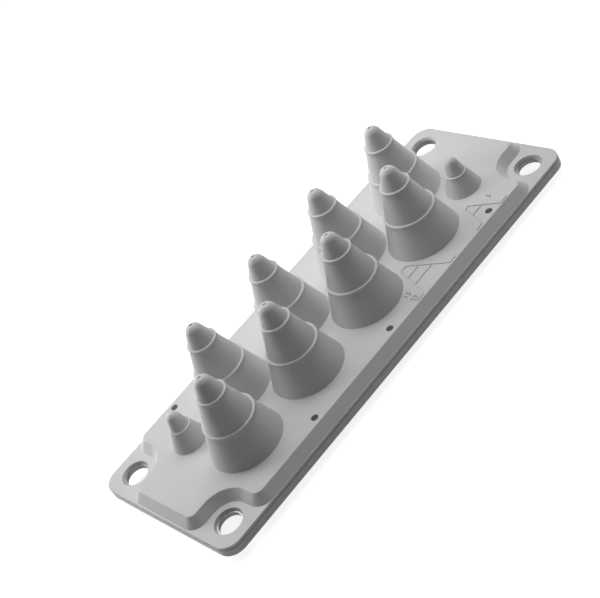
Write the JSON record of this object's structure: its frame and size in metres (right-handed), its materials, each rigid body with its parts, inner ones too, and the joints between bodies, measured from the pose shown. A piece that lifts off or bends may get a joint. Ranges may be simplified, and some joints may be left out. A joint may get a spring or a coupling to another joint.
{
  "type": "cable entry plate",
  "caption": "Flanged elastomer cable entry plate with two rows of stepped cones to cut to cable size, a steel core and fixing holes in the corners.",
  "frame": {"origin": "middle of the plate in the plane of the collar ends, which is the lowest plane", "axes": "+X along the plate's long side, +Y along its short side, +Z along the cones, from their mouths to their tips"},
  "size_m": [0.223, 0.086, 0.0501],
  "materials": {
    "elastomer": "matt moulded",
    "core_steel": "zinc-plated"
  },
  "bodies": {
    "root": {"sealing_body": "elastomer", "core_plate": "core_steel"}
  },
  "joints": []
}
